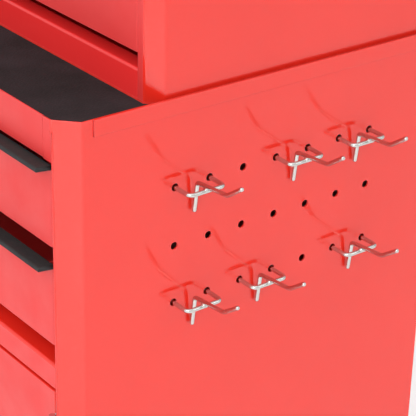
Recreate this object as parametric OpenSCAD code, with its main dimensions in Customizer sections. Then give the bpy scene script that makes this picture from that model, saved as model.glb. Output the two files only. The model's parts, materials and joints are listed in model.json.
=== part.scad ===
// Rolling tool chest: a lower cabinet on casters with two ball-slide drawers, a cupboard with a
// hinged door, a recessed top tray and a pegboard side, and a removable top chest with three
// drawers and a hinged lid over a till. Millimetres, +Z up, front towards -Y, standing on Z = 0.

/* [Cabinet] */
// Width of the lower cabinet across its side panels
body_w = 520; // [400:1:700]
// Depth of the lower cabinet, front rail to back panel
body_d = 288; // [250:1:420]
// Height of the lower cabinet above its casters
cab_h = 640; // [480:1:800]
// Thickness of the folded sheet steel
sheet = 1.2; // [0.8:0.1:2]
// Bevel of the cabinet's front corner posts
post_bevel = 12.8; // [6:0.1:25]
// Depth of the fold behind each corner post
post_return = 30; // [20:1:40]
// Thickness of the cabinet's bottom plate
base_plate = 2; // [1.5:0.5:4]
// Height of the front rail above the drawers
top_rail_h = 25.2; // [18:0.1:40]
// Height of the rail between drawers and door
mid_rail_h = 16.2; // [12:0.1:30]
// Height of the sill under the door
sill_h = 25; // [15:1:50]
// Height of the folded hem along the side's top edge
hem_h = 10.3; // [6:0.1:20]

/* [Tray] */
// Depth of the top tray, rim to liner
tray_depth = 4.5; // [3:0.5:25]
// Thickness of the foam liner
liner = 2; // [1:0.5:4]

/* [Lower drawers] */
// Rim to the upper drawer's top edge
drawer_1_top = 28; // [26:0.1:60]
// Rim to the upper drawer's bottom edge
drawer_1_low = 80.1; // [70:0.1:130]
// Rim to the lower drawer's top edge
drawer_2_top = 90.7; // [85:0.1:150]
// Rim to the lower drawer's bottom edge
drawer_2_low = 144.8; // [120:0.1:220]
// Rim to the top of the rail under the drawers
mid_rail_top = 157.4; // [135:0.1:240]
// Travel of the lower drawers
low_travel = 160; // [80:1:180]

/* [Handles] */
// How far a drawer's ledge handle stands out
pull_out = 9.6; // [6:0.1:20]
// Thickness of a ledge handle
pull_t = 3.1; // [2:0.1:6]

/* [Ball slides] */
// Space taken by one slide, side to side
slide_w = 12.7; // [12.7:0.1:14]
// Height of the outer slide channel
slide_h = 35; // [30:1:38]
// Length of the lower slides
low_slide = 258; // [200:1:262]
// Length of the upper slides
up_slide = 178; // [140:1:180]
// Diameter of a slide's balls
ball_d = 4.5; // [4:0.1:4.6]

/* [Pegboard] */
// Distance between hole centres along a row
peg_pitch = 25.4; // [20:0.1:40]
// Distance between rows
row_pitch = 38.4; // [25:0.1:60]
// Diameter of a peg hole
peg_hole = 5; // [4:0.1:8]
// Front rail to the first column of holes
peg_from_front = 76.8; // [60:0.1:90]
// Rim to the first row of holes
peg_from_rim = 56.6; // [40:0.1:100]

/* [Hooks] */
// Wire diameter of a hook
wire = 2.8; // [2:0.1:4]
// How far a hook's tip stands off the panel
hook_reach = 47.5; // [30:0.5:80]

/* [Door] */
// Gap between rail and door
door_gap = 3.8; // [1.5:0.1:5]
// Gap between door and hinge-side post
hinge_gap = 2.4; // [2:0.1:4]

/* [Casters] */
// Height from floor to the cabinet's bottom
caster_h = 100; // [80:1:140]
// Diameter of a wheel
wheel_d = 75; // [50:1:100]
// Width of a wheel
wheel_w = 22; // [16:1:32]
// Distance a swivel caster trails behind its pivot
trail = 25; // [15:1:35]

/* [Push handle] */
// Diameter of the push handle's tube
tube_d = 22; // [16:1:32]
// Length of the tube between its brackets
tube_len = 216; // [120:1:240]

/* [Top chest] */
// How far the chest's sides stand in from the cabinet's
chest_inset = 3.1; // [3:0.1:40]
// How far the chest's front stands behind the cabinet's
chest_setback = 62.2; // [30:0.1:100]
// Depth of the top chest
chest_d = 208; // [180:1:210]
// Height of the top chest with its lid
chest_h = 316; // [250:1:400]
// Bevel of the chest's front corners
chest_bevel = 9; // [3:0.1:15]
// Width of the flange beside each chest drawer opening
chest_lip = 6.1; // [3:0.1:12]
// Height of the chest's base rail
base_rail_h = 19.5; // [12:0.1:40]
// Height of the lid
lid_h = 34; // [20:1:60]
// Travel of the chest's drawers
up_travel = 115; // [60:1:120]

/* [Hidden] */
$fn = 48;
t = sheet;
gap = 0.3;
half_w = body_w / 2;
front = -(body_d + pull_out) / 2 + pull_out;
rear = front + body_d;
mid_y = (front + rear) / 2;
rim = caster_h + cab_h;
floor_z = caster_h + base_plate;
open_x = half_w - post_bevel;
tray_z = rim - tray_depth - liner;
seat_z = tray_z + liner;
door_top = rim - mid_rail_top - mid_rail_h - door_gap;
door_low = floor_z + sill_h + 2;
slide_y = front + 15;
upright = 20;

chest_w = half_w - chest_inset;
chest_f = front + chest_setback;
chest_b = chest_f + chest_d;
chest_open = chest_w - chest_bevel - chest_lip;
chest_z = seat_z;
chest_top = chest_z + chest_h - lid_h - 0.5;
lid_z = chest_z + chest_h - lid_h;
up_slide_y = chest_f + 15;
face_3 = chest_z + base_rail_h + 9.2;
face_3_h = 66;
face_2 = face_3 + face_3_h + 10.6;
face_1 = face_2 + 45 + 10.6;
small_h = 45;
till_z = face_1 + small_h + 5;

low_cage = 70;
low_cage_y = 94;
up_cage = 45;
up_cage_y = 66;

wheel_x = half_w - 45;
wheel_y = 100;
wheel_z = wheel_d / 2;
leg_t = 2.5;
leg_y = wheel_w / 2 + 1.5;

lock_x = -215;
lock_z = door_top - 20.8;
lid_lock_z = chest_top - 18;
hinge_x = open_x - 1.2;
hinge_y = front - 1.9;
lid_hinge_y = chest_b + 3;
lid_hinge_z = lid_z - 0.25;
bail_z = chest_z + chest_h + 7;
bail_y = (chest_f + chest_b) / 2 + 15;

// A plain block between two corners
module block(a, b) {
    translate(a)
        cube([b[0] - a[0], b[1] - a[1], b[2] - a[2]]);
}

// The same thing on the left as on the right
module both() {
    children();
    mirror([1, 0, 0])
        children();
}

// Plan of a box with bevelled front corners
module plan(w, f, b, c) {
    polygon([[w, b], [w, f + c], [w - c, f], [c - w, f], [-w, f + c], [-w, b]]);
}

// The plan inside a folded sheet wall
module inner_plan(w, f, b, c) {
    plan(w - t, f + t, b - t, c - t * (2 - sqrt(2)));
}

// Bent sheet of the right side, seen from above: flat panel, bevel and a front flange of width lip
module side_plan(w, f, b, c, lip) {
    k = t * (sqrt(2) - 1);
    flange = [[w - c - lip, f], [w - c - lip, f + t], [w - c - k, f + t]];
    edge = lip > 0 ? flange : [[w - c, f + t * sqrt(2)]];
    polygon(concat([[w, b], [w, f + c], [w - c, f]], edge, [[w - t, f + c + k], [w - t, b]]));
}

// Fold that turns back from the corner post beside an opening
module fold_plan(e, f, ret) {
    translate([e, f])
        square([t, ret]);
}

// One side of the lower cabinet
module cabinet_side() {
    translate([0, 0, floor_z])
        linear_extrude(rim - floor_z)
            side_plan(half_w, front, rear, post_bevel, 0);
    translate([0, 0, floor_z])
        linear_extrude(tray_z - t - floor_z)
            fold_plan(open_x, front, post_return);
    block([open_x - 8, front, rim - top_rail_h - t], [open_x, front + t, rim]);
    block([half_w - 0.1, front + post_bevel + 7, rim - hem_h], [half_w + t, rear, rim]);
}

module cabinet_right_side() {
    color("#d32222")
        difference() {
            cabinet_side();
            for (row = [0:2])
                for (col = [0:6])
                    translate([half_w - 4, front + peg_from_front + col * peg_pitch,
                        rim - peg_from_rim - row * row_pitch])
                        rotate([0, 90, 0])
                            cylinder(d = peg_hole, h = 8, $fn = 24);
        }
}

module cabinet_left_side() {
    color("#d32222")
        mirror([1, 0, 0])
            cabinet_side();
}

module cabinet_back() {
    color("#d32222") {
        block([t - half_w, rear - t, floor_z], [half_w - t, rear, rim]);
        both() {
            block([open_x, rear - t - upright, floor_z], [open_x + t, rear - t + 0.1, tray_z - t]);
            block([open_x, rear - 2 * t, floor_z], [half_w - t, rear - t + 0.1, tray_z - t]);
        }
    }
}

module cabinet_base() {
    color("#d32222") {
        translate([0, 0, caster_h])
            linear_extrude(base_plate)
                plan(half_w, front, rear, post_bevel);
        block([-open_x, front, floor_z - 0.1], [open_x, front + t, floor_z + sill_h]);
        block([-open_x, front, floor_z + sill_h - t], [open_x, front + 13, floor_z + sill_h]);
    }
}

module cabinet_front_rail() {
    color("#d32222") {
        block([8.3 - open_x, front, rim - top_rail_h], [open_x - 8.3, front + t, rim]);
        block([8.3 - open_x, front, rim - top_rail_h], [open_x - 8.3, front + 12, rim - top_rail_h + t]);
        both()
            block([open_x - 9, front + t, rim - top_rail_h], [open_x, front + 12, rim - top_rail_h + t]);
    }
}

module cabinet_divider() {
    z = rim - mid_rail_top;
    color("#d32222") {
        block([-open_x, front, z - mid_rail_h], [open_x, front + t, z]);
        block([-open_x, front, z - mid_rail_h], [open_x, front + 13, z - mid_rail_h + t]);
        block([-open_x, front, z - t], [open_x, rear - 2 * t - 0.3, z]);
    }
}

module top_tray() {
    color("#d32222")
        translate([0, 0, tray_z - t])
            linear_extrude(t)
                inner_plan(half_w, front, rear, post_bevel);
}

module tray_liner() {
    color("#2e2c2d")
        translate([0, 0, tray_z])
            linear_extrude(liner)
                plan(half_w - t - gap, front + t + gap, rear - t - gap, post_bevel - t * (2 - sqrt(2)));
}

// Outer slide channel on the right, with its back against x = m
module slide_channel(m, y, z, len) {
    block([m - 1.2, y, z - slide_h / 2], [m, y + len, z + slide_h / 2]);
    for (s = [-1, 1])
        translate([m - 10.5, y, z + s * (slide_h / 2 - 0.6) - 0.6])
            cube([10.5, len, 1.2]);
}

// Inner slide member on a drawer's right side
module slide_member(m, y, z, len) {
    block([m - slide_w - 0.1, y, z - 11.2], [m - slide_w + 1.2, y + len, z + 11.2]);
    for (s = [-1, 1])
        block([m - slide_w, y, z + s * 10.6 - 0.6], [m - 2.6, y + len, z + s * 10.6 + 0.6]);
}

// Ball cage that runs between the two slide members
module ball_cage(m, y, z, len, balls) {
    pitch = (len - 8) / (balls - 1);
    block([m - 2.2, y, z - 14.2], [m - 1.6, y + len, z + 14.2]);
    for (s = [-1, 1]) {
        block([m - 9.5, y, z + s * 13.75 - 0.45], [m - 1.6, y + len, z + s * 13.75 + 0.45]);
        for (i = [0:balls - 1])
            translate([m - 6.3, y + 4 + i * pitch, z + s * 13.75])
                sphere(d = ball_d, $fn = 24);
    }
}

function slide_z(low, top) = (low + top - 5) / 2 + 1;
low_z1 = rim - drawer_1_low;
low_z2 = rim - drawer_2_low;
top_z1 = rim - drawer_1_top;
top_z2 = rim - drawer_2_top;

module cabinet_slide_channels() {
    color("#a9abae")
        both() {
            slide_channel(open_x, slide_y, slide_z(low_z1, top_z1), low_slide);
            slide_channel(open_x, slide_y, slide_z(low_z2, top_z2), low_slide);
        }
}

// Drawer with a folded front, an open box behind it and the inner members of its slides
module drawer(m, f, low, top, y, len) {
    face = m - 1;
    side = m - slide_w;
    z0 = low + 2;
    z1 = top - 5;
    back = y + len;
    block([-face, f + 1, low], [face, f + 1 + t, top - pull_t]);
    block([-face, f + 1, low], [face, f + 13, low + t]);
    both() {
        block([face - t, f + 1, low], [face, f + 13, top - pull_t]);
        block([side - t, f + 1, z0], [side, back, z1]);
        slide_member(m, y, slide_z(low, top), len);
    }
    block([-side, f + 1, z0], [side, back, z0 + t]);
    block([-side, back - t, z0], [side, back, z1]);
}

// Ledge handle that caps a drawer's top edge
module ledge(half, f, top) {
    rotate([90, 0, 90])
        linear_extrude(2 * half, center = true)
            polygon([[f + 1, top - pull_t], [f + 1 + t, top - pull_t], [f + 1 + t, top - pull_t + 0.9],
                [f + 1, top], [f - pull_out + 1.4, top + 1], [f - pull_out + 0.4, top + 0.8],
                [f - pull_out, top + 0.2], [f - pull_out, top - pull_t + 1.7],
                [f - pull_out + 0.4, top - pull_t + 1.1]]);
}

module cabinet_drawer_upper() {
    color("#d32222")
        drawer(open_x, front, low_z1, top_z1, slide_y, low_slide);
}

module cabinet_drawer_lower() {
    color("#d32222")
        drawer(open_x, front, low_z2, top_z2, slide_y, low_slide);
}

module cabinet_handle_upper() {
    color("#343132")
        ledge(open_x - 1, front, top_z1);
}

module cabinet_handle_lower() {
    color("#343132")
        ledge(open_x - 1, front, top_z2);
}

module cabinet_cage_upper() {
    color("#b9bbbd")
        both()
            ball_cage(open_x, slide_y + low_cage_y, slide_z(low_z1, top_z1), low_cage, 6);
}

module cabinet_cage_lower() {
    color("#b9bbbd")
        both()
            ball_cage(open_x, slide_y + low_cage_y, slide_z(low_z2, top_z2), low_cage, 6);
}

tube_x = -(half_w + hook_reach - tube_d / 2);
tube_z = rim - 48;

module push_handle_tube() {
    color("#343132")
        translate([tube_x, mid_y + tube_len / 2, tube_z])
            rotate([90, 0, 0])
                difference() {
                    cylinder(d = tube_d, h = tube_len);
                    translate([0, 0, -1])
                        cylinder(d = tube_d - 3, h = tube_len + 2);
                }
}

module push_handle_brackets() {
    color("#343132")
        for (s = [-1, 1]) {
            y0 = mid_y + s * (tube_len / 2 + 4) - 4;
            translate([tube_x, y0 + 8, tube_z])
                rotate([90, 0, 0])
                    cylinder(d = tube_d, h = 8);
            block([tube_x, y0, tube_z - 9], [-half_w - 2, y0 + 8, tube_z + 9]);
            block([-half_w - 2.5, y0 - 6, tube_z - 24], [-half_w, y0 + 14, tube_z + 24]);
        }
}

// Fixed plate of a caster, with a round race when it swivels
module caster_plate(x, y, swivel) {
    block([x - 30, y - 28, caster_h - 2.5], [x + 30, y + 28, caster_h]);
    if (swivel) {
        translate([x, y, caster_h - 8.7])
            cylinder(d = 42, h = 7);
        translate([x, y, caster_h - 16])
            cylinder(r = 5, h = 14);
        translate([x, y, caster_h - 16])
            cylinder(d = 16, h = 4);
    }
}

module caster_plates() {
    color("#a9abae")
        for (s = [-1, 1]) {
            caster_plate(-wheel_x, mid_y + s * wheel_y, true);
            caster_plate(wheel_x, mid_y + s * wheel_y, false);
        }
}

// Hex bolt heads under the plates and their nuts inside the cabinet
module cabinet_fasteners() {
    color("#8d8f92")
        for (sx = [-1, 1], sy = [-1, 1], bx = [-1, 1], by = [-1, 1]) {
            translate([sx * wheel_x + bx * 24, mid_y + sy * wheel_y + by * 23, caster_h - 6.5])
                cylinder(d = 8, h = 4, $fn = 6);
            translate([sx * wheel_x + bx * 24, mid_y + sy * wheel_y + by * 23, floor_z])
                cylinder(d = 8, h = 4, $fn = 6);
        }
}

// Axle through the legs, with a head at each end
module axle(x, y) {
    translate([x, y + leg_y + leg_t + 2, wheel_z])
        rotate([90, 0, 0])
            cylinder(d = 8, h = 2 * (leg_y + leg_t + 2));
    for (s = [-1, 1])
        translate([x, y + s * (leg_y + leg_t + 1) + 1, wheel_z])
            rotate([90, 0, 0])
                cylinder(d = 13, h = 2);
}

module rigid_caster_forks() {
    color("#a9abae")
        for (s = [-1, 1]) {
            y = mid_y + s * wheel_y;
            top = caster_h - 2.5;
            block([wheel_x - 22, y - leg_y - leg_t, top - 2.5], [wheel_x + 22, y + leg_y + leg_t, top]);
            for (side = [-1, 1])
                translate([wheel_x, y + side * (leg_y + leg_t / 2) + leg_t / 2, 0])
                    rotate([90, 0, 0])
                        linear_extrude(leg_t)
                            union() {
                                polygon([[-22, top], [22, top], [10, wheel_z], [-10, wheel_z]]);
                                translate([0, wheel_z])
                                    circle(10);
                            }
            axle(wheel_x, y);
        }
}

pedal_x = trail + 22;
pedal_z = wheel_z + 38;
fork_top = caster_h - 9;

// Swivel fork around a pivot at x = -wheel_x
module swivel_fork(y) {
    translate([-wheel_x, y, 0]) {
        difference() {
            block([-20, -leg_y - leg_t, fork_top - 2.5], [22, leg_y + leg_t, fork_top]);
            translate([0, 0, fork_top - 4])
                cylinder(r = 5.06, h = 6);
        }
        for (side = [-1, 1])
            translate([0, side * (leg_y + leg_t / 2) + leg_t / 2, 0])
                rotate([90, 0, 0])
                    linear_extrude(leg_t)
                        union() {
                            polygon([[-20, fork_top], [22, fork_top], [pedal_x + 5, pedal_z + 5],
                                [pedal_x + 5, pedal_z - 5], [trail + 10, wheel_z], [trail - 10, wheel_z]]);
                            translate([trail, wheel_z])
                                circle(10);
                        }
        translate([pedal_x, leg_y + leg_t, pedal_z])
            rotate([90, 0, 0])
                cylinder(r = 2.5, h = 2 * (leg_y + leg_t));
    }
    axle(trail - wheel_x, y);
}

module swivel_fork_front() {
    color("#a9abae")
        swivel_fork(mid_y - wheel_y);
}

module swivel_fork_rear() {
    color("#a9abae")
        swivel_fork(mid_y + wheel_y);
}

// Foot pedal on a pin, with a shoe that swings towards the tread
module brake_pedal(y) {
    translate([pedal_x - wheel_x, y, pedal_z])
        rotate([90, 0, 0])
            linear_extrude(2 * leg_y - 2, center = true)
                difference() {
                    union() {
                        circle(5);
                        polygon([[0, 2], [0, 5], [24, 9], [27, 8], [26, 5.5], [4, 0]]);
                        polygon([[-1, -4], [1, -6.5], [3, -6.5], [4.5, -2]]);
                    }
                    circle(2.56);
                }
}

module brake_pedal_front() {
    color("#b01c1c")
        brake_pedal(mid_y - wheel_y);
}

module brake_pedal_rear() {
    color("#b01c1c")
        brake_pedal(mid_y + wheel_y);
}

// Wheel turning about an axle along Y
module wheel(x, y) {
    r = wheel_d / 2;
    h = wheel_w / 2;
    translate([x, y, wheel_z])
        rotate([90, 0, 0])
            rotate_extrude($fn = 72)
                polygon([[4.06, -h], [10, -h], [12, 2 - h], [r - 12, 2 - h], [r - 10, -h], [r - 3, -h],
                    [r - 0.8, 2.5 - h], [r, 6 - h], [r, h - 6], [r - 0.8, h - 2.5], [r - 3, h], [r - 10, h],
                    [r - 12, h - 2], [12, h - 2], [10, h], [4.06, h]]);
}

module wheel_left_front() {
    color("#2b2a2a")
        wheel(trail - wheel_x, mid_y - wheel_y);
}

module wheel_left_rear() {
    color("#2b2a2a")
        wheel(trail - wheel_x, mid_y + wheel_y);
}

module wheel_right_front() {
    color("#2b2a2a")
        wheel(wheel_x, mid_y - wheel_y);
}

module wheel_right_rear() {
    color("#2b2a2a")
        wheel(wheel_x, mid_y + wheel_y);
}

door_right = open_x - hinge_gap;
door_left = 1 - open_x;
hinge_tops = [door_top - 14.8, door_low + 66];

module door_panel() {
    color("#d32222")
        difference() {
            union() {
                block([door_left, front + 1, door_low], [door_right, front + 1 + t, door_top]);
                block([door_left, front + 1, door_low], [door_right, front + 13, door_low + t]);
                block([door_left, front + 1, door_top - t], [door_right, front + 13, door_top]);
                block([door_left, front + 1, door_low], [door_left + t, front + 13, door_top]);
                block([door_right - t, front + 1, door_low], [door_right, front + 13, door_top]);
            }
            translate([lock_x, front + 4, lock_z])
                rotate([90, 0, 0])
                    cylinder(r = 8, h = 6);
        }
}

// Three knuckles: the outer two belong to the frame leaf, the middle one to the door leaf
module door_frame_hinge_leaves() {
    color("#c9cacc")
        for (z = hinge_tops) {
            block([open_x - 0.8, front + 0.6, z - 50], [open_x, front + 20, z]);
            for (k = [z - 16, z - 50]) {
                translate([hinge_x, hinge_y, k])
                    cylinder(r = 2.2, h = 16, $fn = 32);
                block([open_x - 0.8, hinge_y, k], [open_x, front + 0.7, k + 16]);
            }
            translate([hinge_x, hinge_y, z - 50])
                cylinder(r = 1, h = 50, $fn = 32);
        }
}

module door_hinge_leaves() {
    color("#c9cacc")
        for (z = hinge_tops) {
            block([door_right, front + 1, z - 50], [door_right + 0.8, front + 13, z]);
            difference() {
                union() {
                    translate([hinge_x, hinge_y, z - 33.7])
                        cylinder(r = 2.2, h = 17.4, $fn = 32);
                    block([door_right, hinge_y, z - 33.7], [door_right + 0.8, front + 1.1, z - 16.3]);
                }
                translate([hinge_x, hinge_y, z - 35])
                    cylinder(r = 1.06, h = 20, $fn = 32);
            }
        }
}

module door_pull() {
    color("#343132")
        translate([door_left + 14, front, (door_low + door_top) / 2 + 60])
            linear_extrude(140, center = true)
                polygon([[0, 1], [3, 1], [4, 4 - pull_out], [12, 1 - pull_out + 1.2], [12, 1 - pull_out],
                    [1, -pull_out], [0, 1 - pull_out]]);
}

// Lock barrel with its rim on the panel's face
module lock_housing(x, f, z) {
    translate([x, f, z])
        rotate([90, 0, 0])
            difference() {
                union() {
                    cylinder(r = 11, h = 1.5);
                    translate([0, 0, -14])
                        cylinder(r = 7.9, h = 14.5);
                }
                translate([0, 0, -15])
                    cylinder(r = 5.06, h = 20);
            }
}

// Lock plug with a key slot in front and a cam behind, pointing along +X
module lock_plug(x, f, z, len) {
    translate([x, f, z])
        rotate([90, 0, 0])
            difference() {
                union() {
                    translate([0, 0, -17])
                        cylinder(r = 5, h = 18);
                    translate([-6, -6, -16.5])
                        cube([len + 6, 12, 2]);
                }
                translate([-0.7, -3, -1.5])
                    cube([1.4, 6, 4]);
            }
}

module door_lock_housing() {
    color("#c9cacc")
        lock_housing(lock_x, front + 1, lock_z);
}

module door_lock_cam() {
    color("#b9bbbd")
        lock_plug(lock_x, front + 1, lock_z, 29);
}

// Wire hook in two neighbouring holes: a bridging U and an upturned arm welded across it
module hook(col, row) {
    r = wire / 2;
    u_x = 14.5;
    bend = 3;
    y0 = front + peg_from_front + (col + 0.5) * peg_pitch;
    z0 = rim - peg_from_rim - row * row_pitch;
    translate([half_w, y0, z0]) {
        for (s = [-1, 1]) {
            translate([-4.2, s * peg_pitch / 2, 0])
                rotate([0, 90, 0])
                    cylinder(r = r, h = u_x + 4.2 - bend, $fn = 20);
            translate([-4.2, s * peg_pitch / 2, 0])
                sphere(r = r + 0.05, $fn = 20);
            translate([-4.2, s * peg_pitch / 2, 0])
                cylinder(r = r, h = 7, $fn = 20);
            translate([u_x - bend, s * (peg_pitch / 2 - bend), 0])
                rotate([0, 0, s > 0 ? 0 : -90])
                    rotate_extrude(angle = 90, $fn = 32)
                        translate([bend, 0])
                            circle(r = r, $fn = 20);
        }
        translate([u_x, peg_pitch / 2 - bend, 0])
            rotate([90, 0, 0])
                cylinder(r = r, h = peg_pitch - 2 * bend, $fn = 20);
        wire_run([2.3, 0, -17.3], [4.8, 0, 1.2]);
        wire_run([4.8, 0, 1.2], [33.2, 0, 4.1]);
        wire_run([33.2, 0, 4.1], [hook_reach - r - 0.05, 0, 13.3]);
    }
}

// Straight wire between two points in the XZ plane, with a ball at each end
module wire_run(a, b) {
    d = b - a;
    translate(a) {
        rotate([0, atan2(d[0], d[2]), 0])
            cylinder(r = wire / 2, h = norm(d), $fn = 20);
        sphere(r = wire / 2 + 0.05, $fn = 20);
    }
    translate(b)
        sphere(r = wire / 2 + 0.05, $fn = 20);
}

module hook_1() {
    color("#c4c4bf")
        hook(0, 0);
}

module hook_2() {
    color("#c4c4bf")
        hook(3, 0);
}

module hook_3() {
    color("#c4c4bf")
        hook(5, 0);
}

module hook_4() {
    color("#c4c4bf")
        hook(0, 2);
}

module hook_5() {
    color("#c4c4bf")
        hook(2, 2);
}

module hook_6() {
    color("#c4c4bf")
        hook(5, 2);
}

// One side of the top chest
module chest_side() {
    translate([0, 0, chest_z + t])
        linear_extrude(chest_top - chest_z - t)
            side_plan(chest_w, chest_f, chest_b, chest_bevel, chest_lip);
    translate([0, 0, chest_z + t])
        linear_extrude(till_z - chest_z - 2 * t)
            fold_plan(chest_open, chest_f, 25);
}

module chest_right_side() {
    color("#d32222")
        chest_side();
}

module chest_left_side() {
    color("#d32222")
        mirror([1, 0, 0])
            chest_side();
}

module chest_back() {
    color("#d32222") {
        block([t - chest_w, chest_b - t, chest_z + t], [chest_w - t, chest_b, chest_top]);
        both() {
            block([chest_open, chest_b - t - upright, chest_z + t],
                [chest_open + t, chest_b - t + 0.1, till_z - t]);
            block([chest_open, chest_b - 2 * t, chest_z + t], [chest_w - t, chest_b - t + 0.1, till_z - t]);
        }
    }
}

module chest_floor() {
    color("#d32222")
        translate([0, 0, chest_z])
            linear_extrude(t)
                plan(chest_w, chest_f, chest_b, chest_bevel);
}

module chest_front_rails() {
    z = face_1 + small_h + 2.8;
    color("#d32222") {
        block([-chest_open, chest_f, chest_z + t], [chest_open, chest_f + t, chest_z + base_rail_h]);
        block([-chest_open, chest_f, chest_z + base_rail_h - t],
            [chest_open, chest_f + 12, chest_z + base_rail_h]);
        difference() {
            block([-chest_open, chest_f, z], [chest_open, chest_f + t, chest_top]);
            translate([0, chest_f + 4, lid_lock_z])
                rotate([90, 0, 0])
                    cylinder(r = 8, h = 6);
        }
        lock_housing(0, chest_f, lid_lock_z);
    }
}

module chest_till_floor() {
    color("#d32222")
        translate([0, 0, till_z - t])
            linear_extrude(t)
                inner_plan(chest_w, chest_f, chest_b, chest_bevel);
}

function low_of(i) = [face_1, face_2, face_3][i];
function high_of(i) = i == 2 ? face_3 + face_3_h : low_of(i) + small_h;

module chest_slide_channels() {
    color("#a9abae")
        both()
            for (i = [0:2])
                slide_channel(chest_open, up_slide_y, slide_z(low_of(i), high_of(i)), up_slide);
}

module chest_drawer(i) {
    color("#d32222")
        drawer(chest_open, chest_f, low_of(i), high_of(i), up_slide_y, up_slide);
}

module chest_drawer_top() {
    chest_drawer(0);
}

module chest_drawer_middle() {
    chest_drawer(1);
}

module chest_drawer_bottom() {
    chest_drawer(2);
}

module chest_ledge(i) {
    color("#343132")
        ledge(chest_open - 1, chest_f, high_of(i));
}

module chest_handle_top() {
    chest_ledge(0);
}

module chest_handle_middle() {
    chest_ledge(1);
}

module chest_handle_bottom() {
    chest_ledge(2);
}

module chest_cage(i) {
    color("#b9bbbd")
        both()
            ball_cage(chest_open, up_slide_y + up_cage_y, slide_z(low_of(i), high_of(i)), up_cage, 4);
}

module chest_cage_top() {
    chest_cage(0);
}

module chest_cage_middle() {
    chest_cage(1);
}

module chest_cage_bottom() {
    chest_cage(2);
}

module chest_lid() {
    color("#d32222") {
        difference() {
            translate([0, 0, lid_z])
                linear_extrude(lid_h)
                    plan(chest_w, chest_f, chest_b, chest_bevel);
            translate([0, 0, lid_z - 1])
                linear_extrude(lid_h + 1 - t)
                    inner_plan(chest_w, chest_f, chest_b, chest_bevel);
        }
        block([14, chest_f + 0.6, lid_z + 2], [22, chest_f + 4.6, lid_z + 8]);
        block([14, chest_f + 3.4, lid_lock_z - 8], [22, chest_f + 4.6, lid_z + 8]);
        block([14, chest_f + 3.4, lid_lock_z - 8], [22, chest_f + 19, lid_lock_z - 6.8]);
        for (s = [-1, 1])
            bail_lug(s);
        for (i = [-2:2])
            lid_knuckle(i * 80);
    }
}

// Lug that holds one end of the lid's bail handle
module bail_lug(s) {
    difference() {
        block([s * 52 - 5, bail_y - 7, chest_z + chest_h - 0.1], [s * 52 + 5, bail_y + 7, bail_z + 7]);
        translate([s * 52 - 6, bail_y, bail_z])
            rotate([0, 90, 0])
                cylinder(r = 3.06, h = 12);
    }
}

// Lid's share of the rear hinge
module lid_knuckle(x) {
    translate([x - 19.7, lid_hinge_y, lid_hinge_z])
        rotate([0, 90, 0])
            difference() {
                cylinder(r = 2.6, h = 39.4, $fn = 32);
                translate([0, 0, -1])
                    cylinder(r = 1.26, h = 42, $fn = 32);
            }
    block([x - 19.7, chest_b - 0.1, lid_z + 2.3], [x + 19.7, chest_b + 1, lid_z + 14]);
    block([x - 19.7, chest_b - 0.1, lid_z + 0.4], [x + 19.7, chest_b + 1.6, lid_z + 3]);
}

// Fixed leaf of the lid hinge, with the pin and the outer knuckles
module lid_hinge_leaf() {
    color("#c9cacc") {
        block([-190, chest_b, chest_top - 16], [190, chest_b + 1, chest_top - 2.4]);
        translate([-180, lid_hinge_y, lid_hinge_z])
            rotate([0, 90, 0])
                cylinder(r = 1.2, h = 360, $fn = 32);
        for (i = [-3:2]) {
            x = i * 80 + 40;
            translate([x - 20, lid_hinge_y, lid_hinge_z])
                rotate([0, 90, 0])
                    cylinder(r = 2.6, h = 40, $fn = 32);
            block([x - 20, chest_b, chest_top - 3], [x + 20, chest_b + 1.6, chest_top - 0.2]);
        }
    }
}

// Bail handle folded flat on the lid
module lid_handle() {
    color("#343132") {
        for (s = [-1, 1]) {
            translate([s * 52 - 8, bail_y, bail_z])
                rotate([0, 90, 0])
                    cylinder(r = 3, h = 16);
            translate([s * 62, bail_y, bail_z])
                rotate([90, 0, 0])
                    cylinder(r = 3, h = 34);
            translate([s * 62, bail_y, bail_z])
                sphere(r = 3);
            translate([s * 62, bail_y - 34, bail_z])
                sphere(r = 3);
        }
        translate([-62, bail_y - 34, bail_z])
            rotate([0, 90, 0])
                cylinder(r = 3, h = 124);
        translate([-45, bail_y - 34, bail_z])
            rotate([0, 90, 0])
                cylinder(r = 6, h = 90);
    }
}

module lid_lock_cam() {
    color("#b9bbbd")
        translate([0, 0, lid_lock_z])
            rotate([0, -90, 0])
                lock_plug(0, chest_f, 0, 24);
}

cabinet_right_side();
cabinet_left_side();
cabinet_back();
cabinet_base();
cabinet_front_rail();
cabinet_divider();
top_tray();
tray_liner();
cabinet_slide_channels();
push_handle_tube();
push_handle_brackets();
caster_plates();
cabinet_fasteners();
rigid_caster_forks();
door_frame_hinge_leaves();
swivel_fork_front();
swivel_fork_rear();
brake_pedal_front();
brake_pedal_rear();
wheel_left_front();
wheel_left_rear();
wheel_right_front();
wheel_right_rear();
cabinet_drawer_upper();
cabinet_drawer_lower();
cabinet_handle_upper();
cabinet_handle_lower();
cabinet_cage_upper();
cabinet_cage_lower();
door_panel();
door_hinge_leaves();
door_pull();
door_lock_housing();
door_lock_cam();
hook_1();
hook_2();
hook_3();
hook_4();
hook_5();
hook_6();
chest_right_side();
chest_left_side();
chest_back();
chest_floor();
chest_front_rails();
chest_till_floor();
chest_slide_channels();
chest_drawer_top();
chest_drawer_middle();
chest_drawer_bottom();
chest_handle_top();
chest_handle_middle();
chest_handle_bottom();
chest_cage_top();
chest_cage_middle();
chest_cage_bottom();
chest_lid();
lid_hinge_leaf();
lid_handle();
lid_lock_cam();
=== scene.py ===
import json
import math

import bmesh
import bpy
from mathutils import Matrix, Vector
from mathutils.bvhtree import BVHTree


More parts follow.
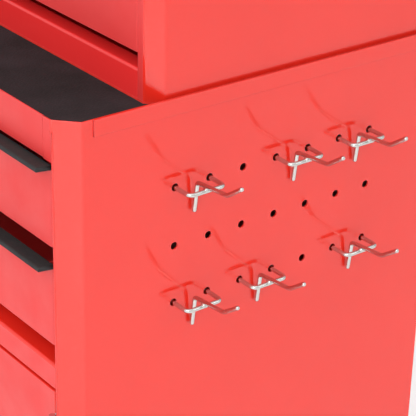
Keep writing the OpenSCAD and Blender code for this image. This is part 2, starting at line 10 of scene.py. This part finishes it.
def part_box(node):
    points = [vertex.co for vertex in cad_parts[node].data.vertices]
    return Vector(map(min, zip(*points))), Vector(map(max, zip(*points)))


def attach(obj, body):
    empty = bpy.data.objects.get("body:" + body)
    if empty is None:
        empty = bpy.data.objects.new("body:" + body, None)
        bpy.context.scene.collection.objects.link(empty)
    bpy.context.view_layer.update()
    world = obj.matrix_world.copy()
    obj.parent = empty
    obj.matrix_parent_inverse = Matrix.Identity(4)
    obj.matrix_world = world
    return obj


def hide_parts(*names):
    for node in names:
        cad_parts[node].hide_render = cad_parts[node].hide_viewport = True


MM = 0.001

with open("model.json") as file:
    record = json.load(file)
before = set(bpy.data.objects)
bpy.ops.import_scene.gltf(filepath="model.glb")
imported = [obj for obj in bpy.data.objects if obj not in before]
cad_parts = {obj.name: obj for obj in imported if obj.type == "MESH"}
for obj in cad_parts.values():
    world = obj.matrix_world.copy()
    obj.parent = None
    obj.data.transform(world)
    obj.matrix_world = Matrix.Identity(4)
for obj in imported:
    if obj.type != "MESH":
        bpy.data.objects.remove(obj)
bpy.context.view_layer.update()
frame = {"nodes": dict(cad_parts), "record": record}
nodes = frame["nodes"]
scene = bpy.context.scene


def corners(name):
    """A CAD node's lowest and highest corners as vectors, in metres."""
    return [Vector(c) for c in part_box(name)]


# ---------------------------------------------------------------- materials

# The helpers below take t, a material's node tree.

def new_material(name):
    """A material with one empty Principled shader: the material, its tree and the shader."""
    m = bpy.data.materials.new(name)
    m.use_nodes = True
    t = m.node_tree
    t.nodes.clear()
    out = t.nodes.new("ShaderNodeOutputMaterial")
    b = t.nodes.new("ShaderNodeBsdfPrincipled")
    t.links.new(b.outputs[0], out.inputs[0])
    return m, t, b


def node(t, kind, **settings):
    """A new node with its settings."""
    n = t.nodes.new(kind)
    for key, value in settings.items():
        setattr(n, key, value)
    return n


def noise(t, scale, detail, rough=0.55):
    """A noise texture on the object's own coordinates."""
    n = node(t, "ShaderNodeTexNoise")
    n.inputs["Scale"].default_value = scale
    n.inputs["Detail"].default_value = detail
    n.inputs["Roughness"].default_value = rough
    t.links.new(node(t, "ShaderNodeTexCoord").outputs["Object"], n.inputs["Vector"])
    return n


def ramp(t, fac, lo, hi, a, b):
    """fac from lo to hi turned into a to b, and held outside them."""
    r = node(t, "ShaderNodeMapRange")
    r.inputs["From Min"].default_value = lo
    r.inputs["From Max"].default_value = hi
    r.inputs["To Min"].default_value = a
    r.inputs["To Max"].default_value = b
    t.links.new(fac, r.inputs["Value"])
    return r.outputs["Result"]


def mix(t, fac, a, b):
    """Colour a where fac is 0 and b where it is 1; each is a plain colour or a node's output."""
    m = node(t, "ShaderNodeMix", data_type="RGBA")
    t.links.new(fac, m.inputs[0])
    for sock, c in ((m.inputs[6], a), (m.inputs[7], b)):
        if isinstance(c, tuple):
            sock.default_value = (*c, 1)
        else:
            t.links.new(c, sock)
    return m.outputs[2]


def bump(t, height, strength, distance, normal=None):
    """The normal bumped by a height of 0 to 1, which stands for a distance in metres."""
    b = node(t, "ShaderNodeBump")
    b.inputs["Strength"].default_value = strength
    b.inputs["Distance"].default_value = distance
    t.links.new(height, b.inputs["Height"])
    if normal is not None:
        t.links.new(normal, b.inputs["Normal"])
    return b.outputs["Normal"]


def soft_edge(t, radius):
    """The surface normal with edges rounded to a radius in metres."""
    b = node(t, "ShaderNodeBevel", samples=6)
    b.inputs["Radius"].default_value = radius
    return b.outputs["Normal"]


def edge_wear_and_sheen(t, radius, patch_scale):
    """1 along edges and 0 on the flats, broken up by a noise of that scale."""
    dot = node(t, "ShaderNodeVectorMath", operation="DOT_PRODUCT")
    t.links.new(soft_edge(t, radius), dot.inputs[0])
    t.links.new(node(t, "ShaderNodeNewGeometry").outputs["Normal"], dot.inputs[1])
    both = node(t, "ShaderNodeMath", operation="MULTIPLY")
    patches = noise(t, patch_scale, 5, 0.7).outputs["Fac"]
    t.links.new(ramp(t, dot.outputs["Value"], 0.8, 0.985, 1, 0), both.inputs[0])
    t.links.new(ramp(t, patches, 0.35, 0.6, 0.25, 1), both.inputs[1])
    return both.outputs[0]


def enamel(name, base, dark, rough, ior):
    """Sprayed enamel on steel: colour drifting from base to dark, orange peel, and paler, duller edges, the
    paleness partly wear and partly a painted highlight on the folds.
    """
    m, t, b = new_material(name)
    drift = ramp(t, noise(t, 9, 4).outputs["Fac"], 0.35, 0.65, 0, 1)
    # Edges are mixed towards a paler red: partly paint rubbed thin, partly a painted highlight where the
    # rounded folds catch the light.
    wear_and_sheen = edge_wear_and_sheen(t, 1.1 * MM, 70)
    rubbed_and_sheen = tuple(min(1, c * 1.04 + 0.05) for c in base)
    t.links.new(mix(t, wear_and_sheen, mix(t, drift, base, dark), rubbed_and_sheen), b.inputs["Base Color"])
    gloss = ramp(t, noise(t, 35, 3).outputs["Fac"], 0.3, 0.7, rough * 0.8, rough * 1.3)
    dulled = node(t, "ShaderNodeMath", operation="MULTIPLY_ADD")
    t.links.new(wear_and_sheen, dulled.inputs[0])
    dulled.inputs[1].default_value = 0.12
    t.links.new(gloss, dulled.inputs[2])
    t.links.new(dulled.outputs[0], b.inputs["Roughness"])
    b.inputs["IOR"].default_value = ior
    peel = noise(t, 240, 2).outputs["Fac"]
    t.links.new(bump(t, peel, 0.06, 0.6 * MM), b.inputs["Normal"])
    return m


def plated(name, base, rough, depth=0.05):
    """Bright plating: metal with faint clouding, fine grain and brighter edges."""
    m, t, b = new_material(name)
    edge = 0.4 * MM
    b.inputs["Metallic"].default_value = 1.0
    clouded = mix(t, noise(t, 60, 4).outputs["Fac"], base, tuple(c * 0.82 for c in base))
    rubbed_and_sheen = tuple(min(1, c * 1.12) for c in base)
    t.links.new(mix(t, edge_wear_and_sheen(t, edge, 200), clouded, rubbed_and_sheen), b.inputs["Base Color"])
    haze = noise(t, 180, 3).outputs["Fac"]
    t.links.new(ramp(t, haze, 0.3, 0.7, rough * 0.7, rough * 1.5), b.inputs["Roughness"])
    grain = noise(t, 700, 2).outputs["Fac"]
    t.links.new(bump(t, grain, depth, 0.3 * MM, soft_edge(t, edge)), b.inputs["Normal"])
    return m


def plastic(name, base, rough, grain, depth, spec=0.5):
    """Moulded plastic or rubber: fine grain, uneven dullness and rubbed edges; grain is the bump's scale."""
    m, t, b = new_material(name)
    edge = 0.7 * MM
    pale, deep = (tuple(c * k for c in base) for k in (1.25, 0.8))
    clouded = mix(t, noise(t, 45, 4).outputs["Fac"], pale, deep)
    rubbed_and_sheen = tuple(c * 1.5 + 0.012 for c in base)
    t.links.new(mix(t, edge_wear_and_sheen(t, edge, 160), clouded, rubbed_and_sheen), b.inputs["Base Color"])
    dull = noise(t, 120, 3).outputs["Fac"]
    t.links.new(ramp(t, dull, 0.3, 0.7, rough * 0.85, min(1, rough * 1.2)), b.inputs["Roughness"])
    b.inputs["Specular IOR Level"].default_value = spec
    pebble = noise(t, grain, 3).outputs["Fac"]
    t.links.new(bump(t, pebble, depth, 0.4 * MM, soft_edge(t, edge)), b.inputs["Normal"])
    return m


def foam(name):
    """Closed-cell foam: matt black with a fine pebble and dustier patches."""
    m, t, b = new_material(name)
    cells = node(t, "ShaderNodeTexVoronoi", feature="F1")
    cells.inputs["Scale"].default_value = 620
    t.links.new(node(t, "ShaderNodeTexCoord").outputs["Object"], cells.inputs["Vector"])
    cloud = noise(t, 26, 5).outputs["Fac"]
    fresh, dusty = (0.014, 0.0115, 0.012), (0.0255, 0.021, 0.024)
    t.links.new(mix(t, ramp(t, cloud, 0.35, 0.7, 0, 1), fresh, dusty), b.inputs["Base Color"])
    t.links.new(ramp(t, cloud, 0.3, 0.7, 0.92, 0.78), b.inputs["Roughness"])
    b.inputs["Specular IOR Level"].default_value = 0.25
    edge = soft_edge(t, 0.6 * MM)
    t.links.new(bump(t, cells.outputs["Distance"], 0.35, 0.6 * MM, edge), b.inputs["Normal"])
    return m


# One red paint: glossy on the sides and folds, satin on the faces that point forward, and between the
# two on the chest's front rails. The three copies also differ in colour as painted light: the glossy
# one is tinted orange like the brightly lit side, the satin one is darker as painted shade on the
# fronts, and the rails' one is paler to lift them out of the tray's shade.
GLOSS = enamel("red_gloss", (0.745, 0.0245, 0.0135), (0.72, 0.0225, 0.012), 0.07, 1.6)
SATIN = enamel("red_satin", (0.70, 0.0275, 0.0265), (0.675, 0.026, 0.025), 0.46, 1.6)
RAIL_LIGHTENED = enamel("red_rail_lightened", (0.81, 0.028, 0.0275), (0.785, 0.0265, 0.026), 0.1, 1.6)
LEDGE = plastic("black_ledge", (0.022, 0.0215, 0.022), 0.7, 700, 0.08, spec=0.3)
BLACK_PAINT = enamel("black_enamel", (0.016, 0.016, 0.017), (0.02, 0.02, 0.021), 0.3, 1.5)
FOAM = foam("foam_liner")
ZINC = plated("zinc_steel", (0.56, 0.57, 0.59), 0.34, 0.12)
NICKEL = plated("nickel", (0.70, 0.70, 0.71), 0.18)
WIRE = plated("hook_wire", (0.62, 0.615, 0.59), 0.14, 0.04)
TYRE = plastic("tyre_rubber", (0.028, 0.028, 0.03), 0.62, 500, 0.2)
HUB = plastic("wheel_hub", (0.22, 0.22, 0.23), 0.45, 800, 0.1)
PEDAL = plastic("pedal_plastic", (0.36, 0.018, 0.016), 0.4, 600, 0.15)
GRIP = plastic("grip_rubber", (0.019, 0.019, 0.020), 0.5, 420, 0.15)

SLOTS = {"red_enamel": GLOSS, "black_handle": LEDGE, "foam_liner": FOAM, "zinc_steel": ZINC,
         "nickel": NICKEL, "hook_wire": WIRE, "black_enamel": BLACK_PAINT, "pedal_plastic": PEDAL,
         "wheel_rubber": TYRE}
# The front pieces take the darker satin copy of the red, painted shade on faces that point forward.
FRONTS = ("cabinet_front_rail", "cabinet_divider", "door_panel", "cabinet_drawer_upper",
          "cabinet_drawer_lower", "chest_drawer_top", "chest_drawer_middle", "chest_drawer_bottom")
slot_of = {part["node"]: part["material_slot"] for part in frame["record"]["subparts"]}
body_of = {n: body for body, names in frame["record"]["behaviour"]["bodies"].items() for n in names}
finish = {n: SATIN if n in FRONTS else SLOTS[slot] for n, slot in slot_of.items()}
# The chest's front rails take the paler copy of the red, painted light against the tray's shade.
finish["chest_front_rails"] = RAIL_LIGHTENED
for n, material in finish.items():
    nodes[n].data.materials.clear()
    nodes[n].data.materials.append(material)


# ---------------------------------------------------------------- rounded sheet metal

def piece(name, mesh, body, material):
    """A finished piece that rides a body and takes a slot's finish."""
    o = bpy.data.objects.new(name, mesh)
    mesh.materials.clear()
    mesh.materials.append(material)
    scene.collection.objects.link(o)
    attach(o, body)
    return o


def reach(face, edge):
    """How far a face extends from one of its edges."""
    a, b = (v.co for v in edge.verts)
    d = (b - a).normalized()
    return max(((v.co - a) - d * (v.co - a).dot(d)).length for v in face.verts)


BALL, SUNK = 6 * MM, 0.45 * MM     # a spot weld's dimple is a cap of this ball, sunk this deep


def dimples(spots):
    """Balls whose caps press shallow spot-weld marks into a face that points backwards."""
    bm = bmesh.new()
    for spot in spots:
        ball = bmesh.ops.create_uvsphere(bm, u_segments=24, v_segments=32, radius=BALL)["verts"]
        centre = Matrix.Translation(Vector(spot) + Vector((0, BALL - SUNK, 0)))
        bmesh.ops.transform(bm, matrix=centre @ Matrix.Rotation(math.pi / 2, 4, "X"), verts=ball)
    mesh = bpy.data.meshes.new("dimples")
    bm.to_mesh(mesh)
    bm.free()
    o = bpy.data.objects.new("dimples", mesh)
    scene.collection.objects.link(o)
    return o


FOLD = math.radians(25)     # edges turned less than this are part of a curve, not folds
OBTUSE = 1.2                # radians; folds turned less than this are the 45 degree ones
NARROW = 4                  # faces narrower than this, in mm, are cut edges of the sheet
SCALE = 10                  # bevel width, in mm, where an edge's weight is 1


def bend_size(e, bend, slant, lip):
    """The bevel width of a fold or cut edge, in mm."""
    turn = e.calc_face_angle()
    width = min(reach(f, e) for f in e.link_faces) / MM
    if width <= NARROW:
        return min(lip, width * 0.35)
    return slant * math.tan(turn / 2) if turn < OBTUSE else bend


def rounded(name, bend=1.9, slant=3.2, lip=0.4, along=None, front=None, under=None, welds=()):
    """The same sheet with real bend radii, in mm, in place of the CAD node.

    bend is for square folds, slant for 45 degree ones, lip for cut edges, and under for folds in the
    lower half. along keeps to edges along one axis, front is the finish of the faces that point
    forward, a darker, less orange copy of the red that paints shade on them, and welds are the spots on the
    back where dimples go."""
    bm = bmesh.new()
    bm.from_mesh(nodes[name].data)
    bmesh.ops.remove_doubles(bm, verts=bm.verts, dist=2e-6)
    bmesh.ops.dissolve_limit(bm, angle_limit=math.radians(1), verts=bm.verts, edges=bm.edges)
    # A rim as thin as the sheet is cut into triangles: a bevelled ring would cover the opening.
    rims = [f for f in bm.faces if len(f.verts) > 4 and 2 * f.calc_area() / f.calc_perimeter() < 2.5 * MM]
    bmesh.ops.triangulate(bm, faces=rims)
    weight = bm.edges.layers.float.new("bevel_weight_edge")
    low = min(v.co.z for v in bm.verts)
    middle = (low + 0.1 * MM + max(v.co.z for v in bm.verts)) / 2
    for e in bm.edges:
        if len(e.link_faces) != 2:
            continue
        a, b = (v.co for v in e.verts)
        turn, length = e.calc_face_angle(0), (b - a).length
        across = along is not None and abs((b - a)[along]) < 0.9 * length
        lowest = max(a.z, b.z) < low + 0.1 * MM
        if across or lowest or not e.is_convex or turn < FOLD or length < 3 * MM:
            e.smooth = turn < FOLD
            continue
        square = under if under and (a.z + b.z) / 2 < middle else bend
        e[weight] = bend_size(e, square, slant, lip) / SCALE
    mesh = bpy.data.meshes.new(name + "_formed")
    bm.to_mesh(mesh)
    bm.free()
    mesh.shade_smooth()
    o = piece(name + "_formed", mesh, body_of[name], GLOSS if front else finish[name])
    folds = o.modifiers.new("folds", "BEVEL")
    folds.limit_method = "WEIGHT"
    folds.offset_type = "OFFSET"
    folds.width = SCALE * MM
    folds.segments = 3
    folds.use_clamp_overlap = False
    if welds:
        marks = o.modifiers.new("marks", "BOOLEAN")
        marks.solver = "EXACT"
        marks.object = dimples(welds)
    level = o.modifiers.new("level", "WEIGHTED_NORMAL")
    level.mode = "FACE_AREA"
    level.weight = 80
    level.keep_sharp = True
    done = bpy.data.meshes.new_from_object(o.evaluated_get(bpy.context.evaluated_depsgraph_get()))
    if welds:
        bpy.data.objects.remove(marks.object)
    o.modifiers.clear()
    o.data = done
    # Faces that point forward take the front finish, a darker, less orange red: painted shade set by which
    # way a face points.
    if front is not None:
        done.materials.append(front)
        for f in done.polygons:
            f.material_index = int(f.normal.y < -0.97)
    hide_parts(name)


for n in ("cabinet_right_side", "cabinet_left_side", "chest_right_side", "chest_left_side"):
    rounded(n, bend=0.7, front=SATIN)
for n in ("cabinet_front_rail", "cabinet_base", "chest_front_rails"):
    rounded(n, along=0)
rounded("cabinet_divider", along=0, front=SATIN, under=0.7)
for n in ("cabinet_drawer_upper", "cabinet_drawer_lower", "chest_drawer_top",
          "chest_drawer_middle", "chest_drawer_bottom", "chest_lid"):
    rounded(n)
rounded("door_panel", bend=0.7, front=SATIN)
low, high = corners("cabinet_back")
side_welds = [(x, high.y, low.z + (48 + 73 * k) * MM)
              for x in (low.x + 12.8 * MM, high.x - 12.8 * MM) for k in range(9)]
cross_welds = [(x * MM, high.y, low.z + z * MM) for x in (-150, -50, 50, 150) for z in (12, 464)]
rounded("cabinet_back", bend=0.6, slant=0.6, lip=0.3, welds=side_welds + cross_welds)
for n in ("cabinet_handle_upper", "cabinet_handle_lower", "chest_handle_top", "chest_handle_middle",
          "chest_handle_bottom", "door_pull"):
    rounded(n, lip=0.35)
rounded("push_handle_brackets", 1.5, 1.5, 0.8)


# ---------------------------------------------------------------- wires, grips, rivets, wheels

def made(name, bm, body, material, stands_for=None):
    """The piece that a bmesh turns into, in place of a CAD node if it stands for one."""
    bmesh.ops.recalc_face_normals(bm, faces=bm.faces)
    mesh = bpy.data.meshes.new(name)
    bm.to_mesh(mesh)
    bm.free()
    o = piece(name, mesh, body, material)
    if stands_for:
        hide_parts(stands_for)


def quarter(steps, back=False):
    """Sine and cosine of angles from 0 to a right angle, or back again."""
    turns = [math.pi / 2 * k / steps for k in range(steps + 1)]
    return [(math.sin(a), math.cos(a)) for a in (reversed(turns) if back else turns)]


def fillet(points, radii, steps=7):
    """A polyline whose inner corners are rounded."""
    points = [Vector(q) for q in points]
    out = [points[0]]
    for a, q, b, r in zip(points, points[1:], points[2:], radii):
        u, v = (a - q).normalized(), (b - q).normalized()
        half = u.angle(v) / 2
        centre = q + (u + v).normalized() * (r / math.sin(half))
        start, end = q + u * (r / math.tan(half)) - centre, q + v * (r / math.tan(half)) - centre
        turn = start.angle(end)
        for f in (k / steps for k in range(steps + 1)):
            arm = start * math.sin((1 - f) * turn) + end * math.sin(f * turn)
            out.append(centre + arm / math.sin(turn))
    out.append(points[-1])
    return out


def lathe(bm, stations, sides=24, smooth=True):
    """Rings round a path: stations are (centre, tangent, radius), and radius 0 closes an end."""
    old = stations[0][1]
    side = old.orthogonal().normalized()
    last = None
    for centre, tangent, radius in stations:
        side = (old.rotation_difference(tangent) @ side).normalized()
        old = tangent
        other = tangent.cross(side)
        if radius < 1e-7:
            ring = [bm.verts.new(centre)]
        else:
            ring = [bm.verts.new(centre + (side * math.cos(a) + other * math.sin(a)) * radius)
                    for a in (2 * math.pi * k / sides for k in range(sides))]
        for k in range(sides) if last else ():
            n = (k + 1) % sides
            quad = [last[k % len(last)], last[n % len(last)], ring[n % len(ring)], ring[k % len(ring)]]
            bm.faces.new(list(dict.fromkeys(quad))).smooth = smooth
        last = ring


def sweep(bm, path, radius, sides=16):
    """A round wire along a path, with a domed end at each side."""
    way = [(b - a).normalized() for a, b in zip(path, path[1:])]
    tangents = [(a + b).normalized() for a, b in zip(way, way[1:])]
    stations = [(path[0] - way[0] * radius * s, way[0], radius * c) for s, c in quarter(4, back=True)]
    stations += [(q, g, radius) for q, g in zip(path[1:-1], tangents)]
    stations += [(path[-1] + way[-1] * radius * s, way[-1], radius * c) for s, c in quarter(4)]
    lathe(bm, stations, sides)


def bead(bm, centre, size, seed):
    """A small uneven weld bead."""
    for v in bmesh.ops.create_icosphere(bm, subdivisions=3, radius=1)["verts"]:
        x, y, z = v.co
        swell = 1 + 0.09 * math.sin(7 * x + seed) * math.sin(6 * y + 2 * seed) + 0.05 * math.sin(11 * z)
        v.co = Vector(centre) + Vector((x * size[0], y * size[1], z * size[2])) * swell
        for f in v.link_faces:
            f.smooth = True


# The hook in millimetres from the middle of its two holes, on the panel's face: x outwards, z up.
HOOK_TIP, HOOK_LOW = 47.5, 18.75    # from there to the tip of the arm and to the foot's end
WIRE_RADIUS = 1.4
PRONG = 12.7                        # from the middle to each hole
LOOP = [(-4.2, -PRONG, 5.6), (-4.2, -PRONG, 0), (14.5, -PRONG, 0),
        (14.5, PRONG, 0), (-4.2, PRONG, 0), (-4.2, PRONG, 5.6)]
ARM = [(2.3, 0, -17.2), (4.8, 0, 1.6), (33.2, 0, 4.3), (46, 0, 13.2)]
for i in range(1, 7):
    low, high = corners(f"hook_{i}")
    origin = Vector((high.x - HOOK_TIP * MM, (low.y + high.y) / 2, low.z + HOOK_LOW * MM))
    bm = bmesh.new()
    sweep(bm, fillet(LOOP, (1.5, 3.2, 3.2, 1.5)), WIRE_RADIUS)
    sweep(bm, fillet(ARM, (2.2, 6)), WIRE_RADIUS)
    for side in (-1, 1):
        bead(bm, (14.4, side * 1.1, 1.0), (1.9, 1.1, 1.3), i + side)
    bmesh.ops.transform(bm, matrix=Matrix.Translation(origin) @ Matrix.Scale(MM, 4), verts=bm.verts)
    made(f"hook_{i}_wire", bm, f"hook_{i}", WIRE, f"hook_{i}")


def grip(bm, start, end, radius, groove, pitch, plain):
    """A moulded sleeve with rounded ends and ring grooves, plain near its ends."""
    way = (end - start).normalized()
    length = (end - start).length
    edge = min(3 * MM, radius * 0.4)
    stations = [(start, way, 0)]
    stations += [(start + way * edge * (1 - c), way, radius - edge + edge * s) for s, c in quarter(4)]
    count = int((length - 2 * plain) / pitch)
    first = (length - count * pitch) / 2
    for i in range(count):
        for f, depth in ((0.0, 0), (0.5, 0), (0.62, 0.8), (0.75, 1), (0.88, 0.8)):
            stations.append((start + way * (first + (i + f) * pitch), way, radius - groove * depth))
    stations += [(end - way * edge * (1 - c), way, radius - edge + edge * s)
                 for s, c in quarter(4, back=True)]
    stations.append((end, way, 0))
    lathe(bm, stations, 40)


low, high = corners("push_handle_tube")
middle = (low + high) / 2
bm = bmesh.new()
grip(bm, Vector((middle.x, low.y, middle.z)), Vector((middle.x, high.y, middle.z)),
     (high.z - low.z) / 2, 0.7 * MM, 6.5 * MM, 20 * MM)
made("push_handle_grip", bm, "cabinet", GRIP, "push_handle_tube")

# The bail is a bent rod whose ends sit in the lugs, with a sleeve on its straight front.
ROD, SLEEVE, INTO_LUG, SLEEVE_HALF = 3 * MM, 6 * MM, 16.5 * MM, 45 * MM
low, high = corners("lid_handle")
pivot, reach_y, w, z = high.y - ROD, low.y + SLEEVE, high.x - ROD, (low.z + high.z) / 2
rod = [(w - INTO_LUG, pivot, z), (w, pivot, z), (w, reach_y, z),
       (-w, reach_y, z), (-w, pivot, z), (INTO_LUG - w, pivot, z)]
bm = bmesh.new()
sweep(bm, fillet(rod, (4.5 * MM,) * 4), ROD, 20)
grip(bm, Vector((-SLEEVE_HALF, reach_y, z)), Vector((SLEEVE_HALF, reach_y, z)),
     SLEEVE, 0.6 * MM, 5 * MM, 8 * MM)
made("lid_handle_bail", bm, "lid_handle", GRIP, "lid_handle")

HUB_RADIUS = 26.2 * MM                      # the wheel's faces inside this are the hub
RIB = Vector((13, 2.2, 2.6)) * MM           # length, depth and thickness of a hub rib
RIB_AT, RIB_OUT = 18.5 * MM, 9.6 * MM       # its middle, from the axle and from the wheel's mid plane
for name in ("wheel_left_front", "wheel_left_rear", "wheel_right_front", "wheel_right_rear"):
    low, high = corners(name)
    hub = (low + high) / 2
    data = nodes[name].data
    data.materials.append(HUB)
    for f in data.polygons:
        c = f.center - hub
        f.material_index = int(math.hypot(c.x, c.z) < HUB_RADIUS)
    bm = bmesh.new()
    for side in (-1, 1):
        for k in range(8):
            turn = Matrix.Rotation(math.pi * k / 4, 4, "Y")
            for v in bmesh.ops.create_cube(bm, size=1)["verts"]:
                x, y, z = v.co
                v.co = hub + turn @ Vector((RIB_AT + x * RIB.x, side * (RIB_OUT + y * RIB.y), z * RIB.z))
    bmesh.ops.bevel(bm, geom=bm.edges[:], offset=0.4 * MM, segments=2, affect="EDGES")
    made(name + "_ribs", bm, name, HUB)


def surface(name, start, way):
    """The first point of a CAD part met from start along way, in metres."""
    o = nodes[name]
    points = [o.matrix_world @ v.co for v in o.data.vertices]
    tree = BVHTree.FromPolygons(points, [f.vertices for f in o.data.polygons])
    return tree.ray_cast(Vector(start), Vector(way))[0]


def studs(name, part, spots, way, radius, height):
    """Domed rivets or button-head screws, in mm, with a recess, where rays back along way meet a part."""
    recess, way = 0.45, Vector(way)
    profile = [(-0.3, 0), (-0.3, 1)]
    profile += [(height * s, recess + (1 - recess) * c) for s, c in quarter(5)]
    profile += [(height * 0.35, recess * 0.92), (height * 0.35, 0)]
    bm = bmesh.new()
    for spot in spots:
        at = surface(part, spot, -way)
        lathe(bm, [(at + way * h * MM, way, f * radius * MM) for h, f in profile])
    made(name, bm, body_of[part], ZINC)


AWAY = 20 * MM      # rays start this far off the part
low, high = corners("lid_hinge_leaf")
studs("lid_hinge_rivets", "lid_hinge_leaf",
      [(x * MM, high.y + AWAY, low.z + 5.5 * MM) for x in range(-175, 176, 50)], (0, 1, 0), 2.6, 1.1)
low, high = corners("push_handle_brackets")
studs("push_handle_bolts", "push_handle_brackets",
      [(low.x - AWAY, y, z) for y in (low.y + 10 * MM, high.y - 10 * MM)
       for z in (low.z + 6 * MM, high.z - 6 * MM)], (-1, 0, 0), 3.4, 2.2)
low, high = corners("chest_back")
studs("chest_back_rivets", "chest_back",
      [(x, high.y + AWAY, low.z + (23.3 + 58 * k) * MM)
       for x in (low.x + 6.7 * MM, high.x - 6.7 * MM) for k in range(5)], (0, 1, 0), 2.2, 0.9)

# An axle's hexagonal nut and the axle's end: height over the fork and radius, in mm.
NUT = ((0, 0), (0, 6.2), (3.4, 6.2), (4.2, 5.4), (4.2, 4.1), (5.8, 4.1), (6.6, 3.4), (6.6, 0))
FORK_HALF = 17 * MM
FORKS = (("cabinet", "rigid_caster_forks", ("wheel_right_front", "wheel_right_rear")),
         ("swivel_front", "swivel_fork_front", ("wheel_left_front",)),
         ("swivel_rear", "swivel_fork_rear", ("wheel_left_rear",)))
for body, name, wheels in FORKS:
    bm = bmesh.new()
    for wheel in wheels:
        low, high = corners(wheel)
        for side in (-1, 1):
            way = Vector((0, side, 0))
            at = (low + high) / 2 + way * FORK_HALF
            lathe(bm, [(at + way * h * MM, way, r * MM) for h, r in NUT], 6, False)
    made(name + "_nuts", bm, body, ZINC)


# ---------------------------------------------------------------- camera, lights, floor

EYE = (0.96988, -0.58975, 1.10241)
AZIMUTH, ELEVATION, ROLL = math.radians(52.128), math.radians(26.033), math.radians(1.439)
ahead = Vector((-math.sin(AZIMUTH) * math.cos(ELEVATION), math.cos(AZIMUTH) * math.cos(ELEVATION),
                -math.sin(ELEVATION)))
right = Vector((math.cos(AZIMUTH), math.sin(AZIMUTH), 0))
up = right.cross(ahead)
spin = Matrix.Rotation(-ROLL, 3, ahead)
right, up = spin @ right, spin @ up
cam = bpy.data.cameras.new("camera")
cam.lens = 144.93
cam.sensor_width = 36
cam.clip_end = 50
camera = bpy.data.objects.new("camera", cam)
camera.matrix_world = Matrix.Translation(EYE) @ Matrix((right, up, -ahead)).transposed().to_4x4()
scene.collection.objects.link(camera)
scene.camera = camera
scene.view_settings.view_transform = "Standard"
scene.view_settings.look = "None"

world = bpy.data.worlds.new("studio")
world.use_nodes = True
scene.world = world
bg = world.node_tree.nodes["Background"]
bg.inputs["Color"].default_value = (1, 1, 1, 1)
bg.inputs["Strength"].default_value = 0.765


def area(name, place, target, size, power):
    """A square lamp of a size in metres and a power in watts, facing a point."""
    lamp = bpy.data.lights.new(name, "AREA")
    lamp.shape = "SQUARE"
    lamp.size = size
    lamp.energy = power
    o = bpy.data.objects.new(name, lamp)
    o.location = place
    o.rotation_euler = (Vector(target) - Vector(place)).to_track_quat("-Z", "Y").to_euler()
    scene.collection.objects.link(o)


area("key_right", (2.8, -0.7, 3.0), (0, 0, 0.8), 3.2, 9)
area("key_front", (-1.0, -3.1, 3.0), (0, 0, 0.8), 3.2, 38)
area("top", (0.3, -0.3, 3.8), (0, 0, 0.6), 4, 26)
# Two low lamps brighten the floor where the corner post and the side mirror it.
area("pool", (1.3, -1.4, 1.5), (1.3, -1.4, 0), 1.2, 26)
area("pool_side", (1.9, 1.25, 1.6), (1.9, 1.25, 0), 1.2, 11)

bm = bmesh.new()
bmesh.ops.create_grid(bm, x_segments=1, y_segments=1, size=9)
mesh = bpy.data.meshes.new("floor")
bm.to_mesh(mesh)
bm.free()
floor = bpy.data.objects.new("floor", mesh)
scene.collection.objects.link(floor)
m, t, b = new_material("pale_floor")
pale, paler = (0.90,) * 3, (0.92,) * 3
t.links.new(mix(t, noise(t, 3, 2).outputs["Fac"], pale, paler), b.inputs["Base Color"])
b.inputs["Roughness"].default_value = 0.8
mesh.materials.append(m)
